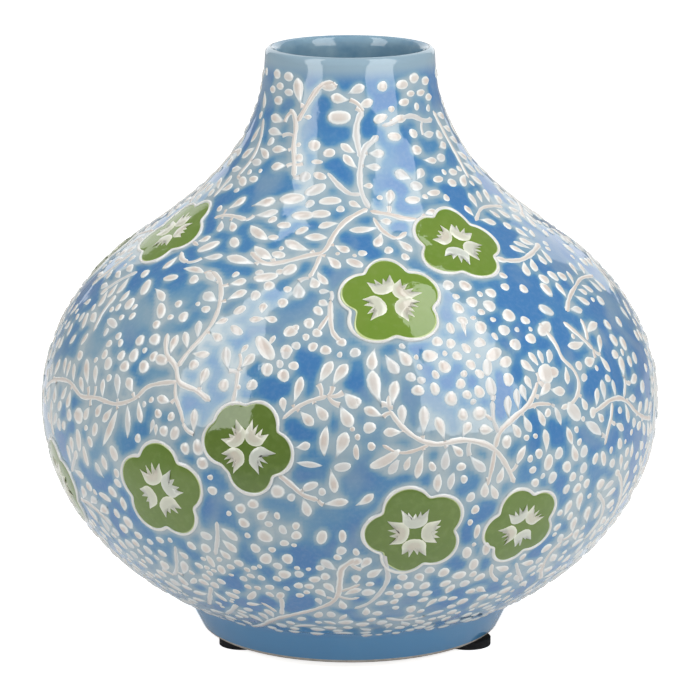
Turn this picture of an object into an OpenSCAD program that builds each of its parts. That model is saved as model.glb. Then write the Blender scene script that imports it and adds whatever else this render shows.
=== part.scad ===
// Squat bulbous pottery vase with a narrow neck: a thrown clay shell with an outer and an
// inner coat of glaze, raised green flower fields fenced with slip, and three stick-on pads.
// The origin is on the table under the centre of the foot. -Y is the front, +Z is up.

/* [Body of the vase] */
// Height from the table to the top of the lip
vase_h = 166; // [165:1:167]
// Diameter of the belly at its widest
belly_d = 172; // [171:1:173]
// Height of the widest point above the table
belly_z = 67; // [66.5:0.5:67.5]
// Height of the ellipse that the bowl below the belly follows, from the belly to its pole
bowl_drop = 66; // [65.5:0.5:66.5]
// Height of the ellipse that the shoulder above the belly follows, from the belly to its pole
shoulder_rise = 63; // [62.5:0.5:63.5]
// Height above the table where the shoulder starts to turn up into the neck
shoulder_z = 111; // [110.5:0.5:111.5]
// Thickness of the wall, glaze included
wall = 4; // [3:0.25:5]

/* [Neck and mouth] */
// Outer diameter of the lip
lip_d = 46.8; // [46.6:0.2:47]
// Inner diameter of the mouth, glaze to glaze
mouth_d = 40; // [39.5:0.5:40.5]
// Length of the straight throat below the lip
throat_len = 10; // [8:0.5:11]
// How far the neck's curve follows the slope of the shoulder
neck_pull_low = 16.5; // [16:0.5:16.5]
// How far the neck's curve follows the upright lip
neck_pull_high = 29.5; // [29:0.5:30]

/* [Foot] */
// Outer diameter of the foot ring where it meets the pads
foot_d = 83.6; // [80:0.2:88]
// Height of the plain conical band above the foot ring's edge
foot_h = 9.5; // [9:0.5:10]
// Width of the foot ring
foot_ring_w = 8; // [7:0.5:9]
// Depth of the recess inside the foot ring
foot_recess = 5.5; // [5:0.5:6]
// Width of the bare clay edge at the bottom of the foot
bare_edge = 1.2; // [0.8:0.1:2]
// Height of the inside floor above the table
floor_z = 12; // [11.5:0.5:14]

/* [Glaze and slip] */
// Thickness of a coat of glaze
glaze_t = 0.4; // [0.3:0.1:0.5]
// Height of the green flower fields above the blue glaze
flower_t = 0.35; // [0.3:0.05:0.4]
// Height of the slip outlines above the blue glaze
outline_t = 0.6; // [0.5:0.1:0.7]
// Width of a slip outline
outline_w = 1.3; // [1.2:0.1:1.3]

/* [Pads] */
// Diameter of a stick-on pad
pad_d = 13; // [11:0.5:14]
// Thickness of a stick-on pad
pad_t = 2; // [1.9:0.1:2.1]

/* [Hidden] */
$fn = 96;
belly_r = belly_d / 2;
lip_r = lip_d / 2;
mouth_r = mouth_d / 2;
foot_r = foot_d / 2;
// The lip is a half circle between the outside of the neck and the throat.
lip_round = (lip_r - mouth_r) / 2;
lip_mid_r = (lip_r + mouth_r) / 2;
lip_mid_z = vase_h - lip_round;
throat_z = lip_mid_z - throat_len + lip_round;

// Angles on the two ellipses where the bowl meets the foot and the shoulder meets the neck.
foot_top_z = pad_t + foot_h;
foot_angle = asin((belly_z - foot_top_z) / bowl_drop);
neck_angle = asin((shoulder_z - belly_z) / shoulder_rise);
bowl_steps = 24;
shoulder_steps = 16;
neck_steps = 18;
lip_steps = 6;

// Every flower is [azimuth from the front towards +X, height, size, turn].
FLOWERS = [
    [-66, 119, 0.96, 2],
    [35, 119.5, 0.97, 70],
    [9.5, 108.5, 1.00, 90],
    [-18.2, 73.5, 0.95, 78],
    [-35.8, 59.5, 1.06, 18],
    [11.3, 51.8, 1.05, 36],
    [33, 49.6, 0.98, 40],
    [-72, 49, 1.00, 20],
    [-98, 106, 1.00, 40],
    [-104, 74, 1.04, 80],
    [-128, 52, 0.98, 15],
    [-138, 110, 1.00, 60],
    [-163, 80, 1.06, 35],
    [172, 50, 1.00, 5],
    [158, 108, 0.97, 90],
    [134, 66, 1.05, 25],
    [112, 98, 1.00, 55],
    [102, 44, 0.98, 75]
];
// Each flower is five round lobes about a round middle.
lobe_r = 5.5;
lobe_out = 7.0;
middle_r = 8.2;
lobes = 5;
// Reach of a whole flower with its outline, used to cut the strip of surface it lies on.
flower_reach = lobe_r + lobe_out + outline_w + 4;
flower_depth = 12;

// Each pad is [azimuth, distance from the axis to the pad's centre].
PADS = [
    [62, 37.3],
    [-60, 34.8],
    [180, 36]
];

FLOWER_NODES = [for (i = [0 : len(FLOWERS) - 1]) str("flower_", i + 1)];
PAD_NODES = ["pad_right", "pad_left", "pad_back"];

// Points [radius, height] of the surface, each moved into the wall by depth t.
function unit(v) = v / norm(v);
function ellipse_point(a, rise, t) =
    [belly_r * cos(a), belly_z + rise * sin(a)]
    - t * unit([abs(rise) * cos(a), sign(rise) * belly_r * sin(a)]);
function bezier(p, s) =
    pow(1 - s, 3) * p[0] + 3 * pow(1 - s, 2) * s * p[1]
    + 3 * (1 - s) * s * s * p[2] + pow(s, 3) * p[3];
function bezier_tangent(p, s) =
    unit(pow(1 - s, 2) * (p[1] - p[0]) + 2 * (1 - s) * s * (p[2] - p[1]) + s * s * (p[3] - p[2]));
function moved_in(p, tangent, t) = p - t * [tangent[1], -tangent[0]];
function lip_point(a, t) = [
    lip_mid_r + (lip_round - t) * cos(a),
    lip_mid_z + (lip_round - t) * sin(a)
];

neck_start = ellipse_point(neck_angle, shoulder_rise, 0);
shoulder_slope = unit([-belly_r * sin(neck_angle), shoulder_rise * cos(neck_angle)]);
neck_end = [lip_r, lip_mid_z];
NECK = [
    neck_start,
    neck_start + neck_pull_low * shoulder_slope,
    neck_end - [0, neck_pull_high],
    neck_end
];

function bowl(t) = [
    for (i = [0 : bowl_steps])
    ellipse_point(foot_angle * (1 - i / bowl_steps), -bowl_drop, t)
];
function shoulder(t) = [
    for (i = [1 : shoulder_steps])
    ellipse_point(neck_angle * i / shoulder_steps, shoulder_rise, t)
];
function neck(t) = [
    for (i = [1 : neck_steps - 1])
    let (s = i / neck_steps)
    moved_in(bezier(NECK, s), bezier_tangent(NECK, s), t)
];
function outer_lip(t) = [for (i = [0 : lip_steps]) lip_point(90 * i / lip_steps, t)];
function inner_lip(t) = [for (i = [0 : lip_steps]) lip_point(90 + 90 * i / lip_steps, t)];

// The foot's plain band is a cone from the ring's edge up to the bowl.
foot_top = ellipse_point(foot_angle, -bowl_drop, 0);
foot_low = [foot_r, pad_t];
foot_slope = unit(foot_top - foot_low);
glaze_start = foot_low + bare_edge * foot_slope;

// The outside from the glaze's lower edge to the top of the lip.
function outside(t) = concat(
    [moved_in(glaze_start, foot_slope, t)],
    bowl(t),
    shoulder(t),
    neck(t),
    outer_lip(t)
);

// The inside from the top of the lip down to the middle of the floor.
neck_low_limit = throat_z - 4;
floor_edge_z = floor_z + 2.5;
floor_flat_r = 30;
INSIDE_WALL = [
    for (p = concat(bowl(wall), shoulder(wall), neck(wall)))
    if (p[1] > floor_edge_z && p[1] < neck_low_limit) p
];
function wall_tangent(i) = unit(
    INSIDE_WALL[min(i + 1, len(INSIDE_WALL) - 1)] - INSIDE_WALL[max(i - 1, 0)]
);
function inside(t) = concat(
    inner_lip(t),
    [[mouth_r + t, throat_z]],
    [
        for (i = [len(INSIDE_WALL) - 1 : -1 : 0])
        moved_in(INSIDE_WALL[i], wall_tangent(i), -t)
    ],
    [[floor_flat_r, floor_z - t], [0, floor_z - t]]
);

// The underside of the clay, from the recess out to the foot ring's edge.
recess_r = foot_r - foot_ring_w;
recess_z = pad_t + foot_recess;
edge_round = 0.6;
UNDERSIDE = [
    [0, recess_z],
    [recess_r - 2 * edge_round, recess_z],
    [recess_r, recess_z - 2 * edge_round],
    [recess_r, pad_t + edge_round],
    [recess_r + edge_round, pad_t],
    [foot_r - edge_round, pad_t],
    foot_low + edge_round * foot_slope,
    glaze_start
];

function reversed(list) = [for (i = [len(list) - 1 : -1 : 0]) list[i]];

// Radius of the glazed outside at height z, and the tilt of its outward normal.
RADIUS_AT = [for (p = outside(0)) [p[1], p[0]]];
function radius_at(z) = lookup(z, RADIUS_AT);
function tilt_at(z) = atan2(radius_at(z - 1) - radius_at(z + 1), 2);

module revolved(profile) {
    rotate_extrude() polygon(profile);
}

// Puts its children on the outside, with their +Z pointing straight out of the surface.
module on_surface(azimuth, z) {
    rotate([0, 0, azimuth - 90])
        translate([radius_at(z), 0, z])
            rotate([0, 90 - tilt_at(z), 0])
                children();
}

// A strip of the outside around height z, raised above the glaze by t.
module raised_strip(z, t) {
    low = [for (p = outside(0)) if (abs(p[1] - z) < flower_reach) p];
    high = [
        for (i = [0 : len(outside(0)) - 1])
        if (abs(outside(0)[i][1] - z) < flower_reach) outside(-t)[i]
    ];
    revolved(concat(low, reversed(high)));
}

// The outline of a flower, widened by grow.
module flower_shape(size, turn, grow) {
    circle(r = middle_r * size + grow);
    for (k = [0 : lobes - 1])
        rotate(turn + 90 + k * 360 / lobes)
            translate([lobe_out * size, 0])
                circle(r = lobe_r * size + grow);
}

module flower_field(flower) {
    color("olivedrab")
        intersection() {
            raised_strip(flower[1], flower_t);
            on_surface(flower[0], flower[1])
                translate([0, 0, -flower_depth / 2])
                    linear_extrude(flower_depth) flower_shape(flower[2], flower[3], 0);
        }
}

module flower_outline(flower) {
    intersection() {
        raised_strip(flower[1], outline_t);
        on_surface(flower[0], flower[1])
            translate([0, 0, -flower_depth / 2])
                linear_extrude(flower_depth)
                    difference() {
                        flower_shape(flower[2], flower[3], outline_w);
                        flower_shape(flower[2], flower[3], 0);
                    }
    }
}

// The slip fences round all the flowers.
module slip_outlines() {
    color("linen")
        for (flower = FLOWERS)
            flower_outline(flower);
}

// The fired clay shell with its foot ring.
module vase_body() {
    color("wheat")
        revolved(concat(
            UNDERSIDE,
            outside(glaze_t),
            [for (i = [1 : len(inside(glaze_t)) - 1]) inside(glaze_t)[i]]
        ));
}

// The blue coat from just above the foot's bare edge to the top of the lip.
module outer_glaze() {
    color("steelblue")
        revolved(concat(outside(0), reversed(outside(glaze_t))));
}

// The coat that lines the inside from the top of the lip to the floor.
module inner_glaze() {
    color("lightsteelblue")
        revolved(concat(inside(0), reversed(inside(glaze_t))));
}

// A stick-on pad under the foot ring.
module pad(place) {
    color("dimgray")
        rotate([0, 0, place[0] - 90])
            translate([place[1], 0, 0])
                cylinder(d = pad_d, h = pad_t);
}

vase_body();
outer_glaze();
inner_glaze();
slip_outlines();
for (i = [0 : len(FLOWERS) - 1])
    flower_field(FLOWERS[i]);
for (i = [0 : len(PADS) - 1])
    pad(PADS[i]);
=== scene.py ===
"""Talavera pottery vase: glaze coats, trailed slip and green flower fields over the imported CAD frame."""

import math
import random

import bpy
import numpy as np
from mathutils import Matrix, Vector


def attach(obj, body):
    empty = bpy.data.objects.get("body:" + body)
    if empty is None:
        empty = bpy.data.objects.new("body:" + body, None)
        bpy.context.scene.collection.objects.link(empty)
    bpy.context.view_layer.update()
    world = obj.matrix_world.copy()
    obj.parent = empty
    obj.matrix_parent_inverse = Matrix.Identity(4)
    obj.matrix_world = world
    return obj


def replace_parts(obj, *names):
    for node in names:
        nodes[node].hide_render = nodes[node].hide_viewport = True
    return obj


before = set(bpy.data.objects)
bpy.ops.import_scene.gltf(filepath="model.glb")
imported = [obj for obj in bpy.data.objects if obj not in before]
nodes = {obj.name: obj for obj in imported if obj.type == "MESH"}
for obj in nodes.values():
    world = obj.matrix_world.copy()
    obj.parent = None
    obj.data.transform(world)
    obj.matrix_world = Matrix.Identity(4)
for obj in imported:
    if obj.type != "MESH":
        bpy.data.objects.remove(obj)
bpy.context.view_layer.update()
rng = random.Random(7)
MM = 0.001
DEG = math.pi / 180

# ---------------------------------------------------------------- surface of the pot


def wall_points(node, sign):
    """Radii in mm by height, of the faces of a revolved node that look out (+1) or in and up (-1)."""
    mesh = nodes[node].data
    found = {}
    for face in mesh.polygons:
        c, n = face.center, face.normal
        out = (c.x * n.x + c.y * n.y) / max(math.hypot(c.x, c.y), 1e-9)
        if sign * out > 0.02 or (sign < 0 and n.z > 0.95):
            for i in face.vertices:
                p = mesh.vertices[i].co
                r, z = math.hypot(p.x, p.y) / MM, p.z / MM
                found.setdefault(round(z, 2), []).append(r)
    return found


def smooth_through(points, per_span):
    """Centripetal curve through the points, with per_span steps between each two."""
    p = np.array([2 * np.array(points[0]) - points[1], *points, 2 * np.array(points[-1]) - points[-2]], float)
    out = []
    for i in range(1, len(p) - 2):
        a, b, c, d = p[i - 1 : i + 3]
        t1 = math.sqrt(np.linalg.norm(b - a))
        t2 = t1 + math.sqrt(np.linalg.norm(c - b))
        t3 = t2 + math.sqrt(np.linalg.norm(d - c))
        for t in np.linspace(t1, t2, per_span, endpoint=False):
            ab = a + (b - a) * t / t1
            bc = b + (c - b) * (t - t1) / (t2 - t1)
            cd = c + (d - c) * (t - t2) / (t3 - t2)
            abc = ab + (bc - ab) * t / t2
            bcd = bc + (cd - bc) * (t - t1) / (t3 - t1)
            out.append(abc + (bcd - abc) * (t - t1) / (t2 - t1))
    out.append(p[-2])
    return np.array(out)


PROFILE_STEP = 0.2


class Profile:
    """A profile by its own length in mm, from one end to the other, with its softened normal."""

    def __init__(self, curve, side, soften):
        step = np.hypot(*np.diff(curve, axis=0).T)
        length = np.concatenate([[0], np.cumsum(step)])
        self.s = np.arange(0, length[-1], PROFILE_STEP)
        self.r = np.interp(self.s, length, curve[:, 0])
        self.z = np.interp(self.s, length, curve[:, 1])
        k = np.hanning(2 * soften + 1)
        k /= k.sum()
        pad = lambda v: np.concatenate([2 * v[0] - v[soften:0:-1], v, 2 * v[-1] - v[-2 : -soften - 2 : -1]])
        r, z = (np.convolve(pad(v), k, "valid") for v in (self.r, self.z))
        tr, tz = np.gradient(r), np.gradient(z)
        size = np.hypot(tr, tz)
        self.nr, self.nz = side * tz / size, -side * tr / size
        self.end = self.s[-1]

    def at(self, s):
        return [np.interp(s, self.s, v) for v in (self.r, self.z, self.nr, self.nz)]

    def place(self, az, s, h):
        """Points in metres, az degrees from the front towards +X, at length s and h mm above the wall."""
        r, z, nr, nz = self.at(s)
        a = np.radians(az)
        rad = (r + h * nr) * MM
        return np.stack([rad * np.sin(a), -rad * np.cos(a), (z + h * nz) * MM], -1)


outer = wall_points("outer_glaze", 1)
rings = [(max(outer[z]), z) for z in sorted(outer)]
FOOT_TOP = 11.5
foot_rings = sum(z < FOOT_TOP - 0.05 for _, z in rings)
WALL = Profile(np.vstack([rings[:foot_rings], smooth_through(rings[foot_rings:], 12)]), 1, 3)
Z_UP = np.maximum.accumulate(WALL.z)
s_of = lambda z: float(np.interp(z, Z_UP, WALL.s))
S_FOOT = s_of(FOOT_TOP)

# ---------------------------------------------------------------- maps of what lies where on the wall

# columns round the pot, and mm along the wall from row to row
COLS, STEP = 1440, 0.3
ROWS = int(WALL.end / STEP) + 2
ROW_S = np.arange(ROWS) * STEP
ROW_R = WALL.at(ROW_S)[0]
slip_map = np.zeros((ROWS, COLS), bool)
pool_map = np.zeros((ROWS, COLS), bool)
flower_map = np.zeros((ROWS, COLS), bool)


def disc(az, s, radius):
    """Rows and columns of the map within radius mm of a point."""
    lo, hi = max(int((s - radius) / STEP), 0), min(int((s + radius) / STEP) + 2, ROWS)
    if hi <= lo:
        return None
    rows = np.arange(lo, hi)
    r = ROW_R[lo:hi].mean()
    reach = radius / (r * DEG)
    half = int(reach / 360 * COLS) + 1
    mid = int(round(az / 360 * COLS))
    cols = np.arange(mid - half, mid + half + 1)
    du = (cols * 360 / COLS - az) * DEG * r
    inside = (ROW_S[rows] - s)[:, None] ** 2 + du[None, :] ** 2 <= radius**2
    return rows, cols % COLS, inside


def stamp(grid, az, s, radius):
    """Mark the map within radius mm of a point."""
    found = disc(az, s, radius)
    if found:
        rows, cols, inside = found
        grid[np.ix_(rows, cols)] |= inside


def clear(grid, az, s, radius):
    """Whether nothing is marked within radius mm of a point on the wall."""
    found = disc(az, s, radius)
    if not found:
        return False
    rows, cols, inside = found
    return not (grid[np.ix_(rows, cols)] & inside).any()


def blurred(grid, radius):
    """The map averaged over about radius mm, three box passes each way."""
    out = grid.astype(float)
    for _ in range(3):
        k = max(int(radius / STEP), 1)
        pad = np.pad(out, ((k + 1, k), (0, 0)), "edge").cumsum(0)
        out = (pad[2 * k + 1 :] - pad[: -2 * k - 1]) / (2 * k + 1)
        total = np.concatenate([out, out, out], 1).cumsum(1)
        for i in range(ROWS):
            c = int(min(max(radius / (ROW_R[i] * DEG) / 360 * COLS, 1), COLS // 3))
            row = total[i]
            out[i] = (row[COLS + c : 2 * COLS + c] - row[COLS - c - 1 : 2 * COLS - c - 1]) / (2 * c + 1)
    return out


# ---------------------------------------------------------------- relief builders


class Relief:
    """Collects small raised shapes into one mesh, with a ridge value and a tone on each vertex."""

    def __init__(self, name):
        self.name, self.v, self.f, self.core, self.tone, self.n = name, [], [], [], [], 0

    def add(self, points, faces, core, tone):
        self.v.append(points)
        self.f += [tuple(i + self.n for i in f) for f in faces]
        self.core.append(core)
        self.tone.append(np.full(len(points), tone))
        self.n += len(points)

    def build(self, material, slot):
        mesh = bpy.data.meshes.new(self.name)
        mesh.from_pydata(np.concatenate(self.v).tolist(), [], self.f)
        for key, values in (("core", self.core), ("tone", self.tone)):
            layer = mesh.attributes.new(key, "FLOAT", "POINT")
            layer.data.foreach_set("value", np.concatenate(values).astype(np.float32))
        mesh.polygons.foreach_set("use_smooth", [True] * len(mesh.polygons))
        mesh.materials.append(material)
        obj = bpy.data.objects.new(self.name, mesh)
        bpy.context.scene.collection.objects.link(obj)
        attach(obj, "root")
        return obj


# cross-section of a bead of slip: places across it in half widths, shares of its height, and ridge values
CROSS = np.array([-1.3, -0.86, -0.42, 0.42, 0.86, 1.3])
CROSS_H = np.array([0, 0.5, 1, 1, 0.5, 0])
CROSS_CORE = np.array([0, 0.4, 1, 1, 0.4, 0])
# how deep the foot of a relief sits in the wall, in mm
SUNK = 0.05


def ribbon(relief, az, s, width, height, tone, closed=False, core_share=None):
    """A raised bead of slip along a line of points, each with its own width and height in mm."""
    az, s, width, height = (np.asarray(v, float) for v in (az, s, width, height))
    n = len(az)
    scale = WALL.at(s)[0] * DEG
    if closed:
        da = (np.roll(az, -1) - np.roll(az, 1)) * scale
        ds = np.roll(s, -1) - np.roll(s, 1)
    else:
        da, ds = np.gradient(az) * scale, np.gradient(s)
    size = np.maximum(np.hypot(da, ds), 1e-9)
    pu, pv = -ds / size, da / size
    off = CROSS[None, :] * width[:, None] / 2
    a = az[:, None] + off * (pu / scale)[:, None]
    t = s[:, None] + off * pv[:, None]
    h = height[:, None] * CROSS_H[None, :] - SUNK * (CROSS_H[None, :] == 0)
    core = np.repeat(CROSS_CORE[None, :], n, 0)
    if core_share is not None:
        core = core * core_share[:, None]
    m = len(CROSS)
    faces = []
    for i in range(n if closed else n - 1):
        j = (i + 1) % n
        for c in range(m - 1):
            faces.append((i * m + c + 1, i * m + c, j * m + c, j * m + c + 1))
    relief.add(WALL.place(a, t, h).reshape(-1, 3), faces, core.reshape(-1), tone)
    for x, y, w in zip(az, s, width):
        stamp(slip_map, x, y, max(w / 2, STEP))


def cap_faces(count, loops, flip=False):
    """Faces of a cap: closed loops of count points, one inside the other, then one point in the middle."""
    faces = []
    for loop in range(loops):
        for i in range(count):
            a, b = loop * count + i, loop * count + (i + 1) % count
            if flip:
                a, b = b, a
            faces.append((a, b, b + count, a + count) if loop < loops - 1 else (a, b, loops * count))
    return faces


def turned(u, v, turn):
    """Offsets u and v turned by an angle in degrees."""
    c, k = math.cos(turn * DEG), math.sin(turn * DEG)
    return u * c - v * k, u * k + v * c


# loops of a dot: share of its radius, share of its height (None where it meets the wall), ridge value
DOT_LOOPS = ((1.25, None, 0), (0.9, 0.5, 0.4), (0.5, 0.93, 0.95))
DOT_POINTS = 12


def dome(relief, az, s, du, dv, turn, height, tone):
    """A round or oval dot of slip, du by dv mm."""
    a = np.arange(DOT_POINTS) * 2 * math.pi / DOT_POINTS
    wob = 1 + 0.08 * np.sin(2 * a + rng.uniform(0, 6)) + 0.05 * np.sin(3 * a + rng.uniform(0, 6))
    u, v = turned(np.cos(a) * wob * du / 2, np.sin(a) * wob * dv / 2, turn)
    r = WALL.at(s)[0]
    points, core = [], []
    for share, lift, ridge in DOT_LOOPS:
        h = -SUNK if lift is None else lift * height
        points.append(WALL.place(az + share * u / (r * DEG), s + share * v, np.full(DOT_POINTS, h)))
        core.append(np.full(DOT_POINTS, ridge))
    points.append(WALL.place(np.array([az]), np.array([s]), np.array([height])))
    core.append(np.array([1.0]))
    relief.add(np.concatenate(points), cap_faces(DOT_POINTS, len(DOT_LOOPS)), np.concatenate(core), tone)
    stamp(slip_map, az, s, (du + dv) / 4)


# width along a leaf, from its thin end to its fat end
T = (1 - np.cos(np.linspace(0, math.pi, 10))) / 2
SHAPES = {
    "drop": 0.12 + 0.88 * np.sin(np.pi * T**1.7) ** 0.75,
    "spindle": 0.1 + 0.9 * np.sin(np.pi * T) ** 0.9,
    "blob": 0.1 + 0.9 * np.sqrt(np.maximum(1 - (2 * T - 1) ** 2, 0)),
}
for shape in SHAPES.values():
    shape[0] *= 0.5
    shape[-1] *= 0.5


def leaf_line(az, z, length, turn, bend=0.0):
    """Centre line of a leaf, length in mm and turn in degrees from the right, as azimuths and lengths."""
    s = s_of(z)
    r = WALL.at(s)[0]
    along = (T - 0.5) * length
    side = bend * length * (1 - (2 * T - 1) ** 2)
    c, k = math.cos(turn * DEG), math.sin(turn * DEG)
    return az + (along * c - side * k) / (r * DEG), s + along * k + side * c


def leaf(relief, az, z, length, width, turn, kind="drop", bend=0.0, tone=None):
    a, s = leaf_line(az, z, length, turn, bend)
    shape = SHAPES[kind]
    high = (0.2 + 0.09 * width) * (0.35 + 0.65 * shape)
    if tone is None:
        tone = rng.random()
    ribbon(relief, a, s, width * shape, high, tone, core_share=np.clip(shape * 1.3 - 0.25, 0, 1))


STEM_STEP = 0.9


def curve(points):
    """A smooth line through (azimuth, height) points as azimuths and lengths, about STEM_STEP mm apart."""
    pts = [(a, s_of(z)) for a, z in points]
    if len(pts) > 2:
        line = smooth_through(pts, 8)
    else:
        line = np.array([np.linspace(pts[0][i], pts[1][i], 9) for i in (0, 1)]).T
    r = WALL.at(line[:, 1])[0] * DEG
    d = np.concatenate([[0], np.cumsum(np.hypot(np.diff(line[:, 0]) * r[:-1], np.diff(line[:, 1])))])
    n = max(int(d[-1] / STEM_STEP), 3)
    t = np.linspace(0, d[-1], n + 1)
    return np.interp(t, d, line[:, 0]), np.interp(t, d, line[:, 1])


# the points of each stem laid so far
stem_lines = []


def nearest_stem(az, s, reach):
    """The stem point closest to a place, if one lies within reach mm."""
    line = np.concatenate(stem_lines)
    r = float(WALL.at(s)[0])
    far = np.hypot((line[:, 0] - az) * DEG * r, line[:, 1] - s)
    best = int(far.argmin())
    return (line[best], float(far[best])) if far[best] < reach else (None, 0.0)


def tail(relief, az, z, length, width, turn, bend, tone, reach):
    """A thin trail of slip from the thin end of a leaf back to its stem."""
    a, s = leaf_line(az, z, length, turn, bend)
    root, far = nearest_stem(a[0], s[0], reach)
    if root is None or far < 0.4:
        return
    start = np.array([a[1], s[1]])
    t = np.linspace(0, 1, max(int(far / 0.7) + 2, 3))[:, None]
    r = float(WALL.at(s[0])[0]) * DEG
    across = np.array([(start[1] - root[1]) / far / r, (root[0] - start[0]) * r / far])
    line = start * (1 - t) + root * t + 0.12 * far * np.sin(np.pi * t) * across
    widths = np.linspace(0.55 * width, 1.0, len(t))
    ribbon(relief, line[:, 0], line[:, 1], widths, np.linspace(0.36, 0.26, len(t)), tone)


def stem(relief, points, width):
    """A stem through (azimuth, height) points, uneven in width and rounded off at both ends."""
    a, s = curve(points)
    n = len(a)
    t = np.linspace(0, 1, n)
    wob = 1 + 0.12 * np.sin(t * n * 0.7 + rng.uniform(0, 6)) + 0.08 * np.sin(t * n * 1.9 + rng.uniform(0, 6))
    ends = np.clip(np.minimum(t, 1 - t) * n / 1.5 + 0.35, 0.35, 1)
    ribbon(relief, a, s, width * wob * ends, (0.16 + 0.16 * width) * ends, rng.random())
    stem_lines.append(np.stack([a, s], -1))


# ---------------------------------------------------------------- flowers

# Azimuth, height, size, turn of the first lobe (or the angles of all five), green tone, angles of the four
# crowns of its star, and the side and depth where the green stops short of the fence.
FLOWERS = [
    (-67.5, 118, 0.97, 2, 0.7, (100, 20, -80, -170), None),
    (34.4, 118.9, 1.0, 70, 0.75, (140, 50, -35, -125), None),
    (9.5, 108.5, 1.09, 90, 0.95, (115, 40, -40, -150), (205, 1.3)),
    (-18.2, 73.2, 0.96, (172, 124, 68, -8, -80), 0.1, (138, 58, -38, -132), None),
    (-35.8, 58.3, 1.06, 18, 0.35, (115, 30, -60, -150), None),
    (11.7, 50.4, 1.06, 36, 0.3, (90, 0, -90, 180), (235, 0.9)),
    (33, 48.9, 0.9, 40, 0.35, (110, 45, -70, -150), None),
    (-72, 49, 1.00, 20, 0.5, (90, 0, -90, 180), None),
    (-98, 106, 1.00, 40, 0.6, (60, -20, -100, 160), None),
    (-104, 74, 1.04, 80, 0.2, (120, 30, -60, -140), None),
    (-128, 52, 0.98, 15, 0.4, (100, 10, -70, -170), (60, 0.8)),
    (-138, 110, 1.00, 60, 0.8, (80, -10, -90, 170), None),
    (-163, 80, 1.06, 35, 0.15, (110, 20, -60, -150), None),
    (172, 50, 1.00, 5, 0.45, (90, 0, -100, 175), None),
    (158, 108, 0.97, 90, 0.9, (115, 35, -45, -140), (200, 0.9)),
    (134, 66, 1.05, 25, 0.3, (100, 20, -80, -160), None),
    (112, 98, 1.00, 55, 0.7, (125, 45, -50, -130), None),
    (102, 44, 0.98, 75, 0.35, (90, 5, -85, -175), None),
]
# In mm: radius of a lobe, how far its middle lies from the flower's, radius of the flower's middle, and
# width of the fence.
LOBE_R, LOBE_OUT, MIDDLE_R, FENCE_W = 5.5, 7.0, 8.2, 0.85
FENCE_POINTS, FIELD_POINTS = 150, 120
# loops of a green field, a low cushion: share of its reach, height in mm, ridge value
FIELD_LOOPS = (
    (1, 0, 0), (0.98, 0.16, 0), (0.955, 0.24, 0.25), (0.92, 0.28, 1), (0.75, 0.33, 1), (0.5, 0.36, 1),
    (0.25, 0.38, 1),
)
FIELD_TOP = 0.38
# loops of a crown of slip, in the same way
CROWN_LOOPS = ((1, 0.3, 0), (0.84, 0.5, 0.5), (0.5, 0.58, 1))
CROWN_TOP = 0.6


def flower_edge(phi, size, turn, grow):
    """Reach of the five lobed outline in the directions phi (radians)."""
    reach = np.full(len(phi), MIDDLE_R * size + grow)
    for angle in turn if isinstance(turn, tuple) else [turn + 72 * k for k in range(5)]:
        d = phi - angle * DEG
        across = LOBE_OUT * size * np.sin(d)
        rad = LOBE_R * size + grow
        ok = np.abs(across) < rad
        far = LOBE_OUT * size * np.cos(d) + np.sqrt(np.maximum(rad**2 - across**2, 0))
        reach = np.where(ok, np.maximum(reach, far), reach)
    k = np.array([1, 2, 3, 2, 1]) / 9
    return np.convolve(np.concatenate([reach[-2:], reach, reach[:2]]), k, "valid")


def wave(phi, seed, size):
    """A slow hand wobble round a loop."""
    g = random.Random(seed)
    return size * sum(g.uniform(0.4, 1) * np.sin(k * phi + g.uniform(0, 6)) / k**0.5 for k in (2, 3, 5, 8))


def polar(az, s, phi, reach):
    """Azimuths and lengths at a reach in mm from a point, in the directions phi."""
    r = WALL.at(s)[0]
    return az + reach * np.cos(phi) / (r * DEG), s + reach * np.sin(phi)


def circle(count):
    return np.linspace(0, 2 * math.pi, count, endpoint=False)


def fence(relief, index, az, s, size, turn, green):
    """The slip line round a flower. Marks the flower's ground on the map."""
    phi = circle(FENCE_POINTS)
    reach = flower_edge(phi, size, turn, FENCE_W / 2 + 0.1) + wave(phi, index, 0.16)
    a, t = polar(az, s, phi, reach)
    wide = FENCE_W * (1 + 0.16 * np.sin(5 * phi + index) + 0.1 * np.sin(11 * phi + 2 * index))
    high, core = np.full(FENCE_POINTS, 0.5), np.full(FENCE_POINTS, 0.62)
    ribbon(relief, a, t, wide, high, 0.2 + 0.3 * green, closed=True, core_share=core)
    for ring in np.linspace(0.5, size * (LOBE_R + LOBE_OUT) - 1, 12):
        pa, ps = polar(az, s, phi[::2], np.minimum(ring, flower_edge(phi, size, turn, 0))[::2])
        for x, y in zip(pa, ps):
            stamp(flower_map, x, y, 0.9)


def green_field(index, az, s, size, turn, green, miss):
    """The green field inside the fence."""
    phi = circle(FIELD_POINTS)
    reach = flower_edge(phi, size, turn, 0.4) + wave(phi, index, 0.16)
    if miss:
        side, depth = miss
        gap = np.angle(np.exp(1j * (phi - side * DEG)))
        reach = reach - depth * np.exp(-((gap / 0.42) ** 2)) * (1 + 0.25 * np.sin(9 * phi))
    points, core = [], []
    for share, h, ridge in FIELD_LOOPS:
        a, t = polar(az, s, phi, reach * share)
        points.append(WALL.place(a, t, h + 0.03 * np.sin(4 * phi + 5 * share)))
        core.append(np.full(FIELD_POINTS, float(ridge)))
    points.append(WALL.place(np.array([az]), np.array([s]), np.array([FIELD_TOP])))
    core.append(np.array([1.0]))
    field = Relief(f"green_field_{index + 1}")
    field.add(np.concatenate(points), cap_faces(FIELD_POINTS, len(FIELD_LOOPS)), np.concatenate(core), green)
    return field


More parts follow.
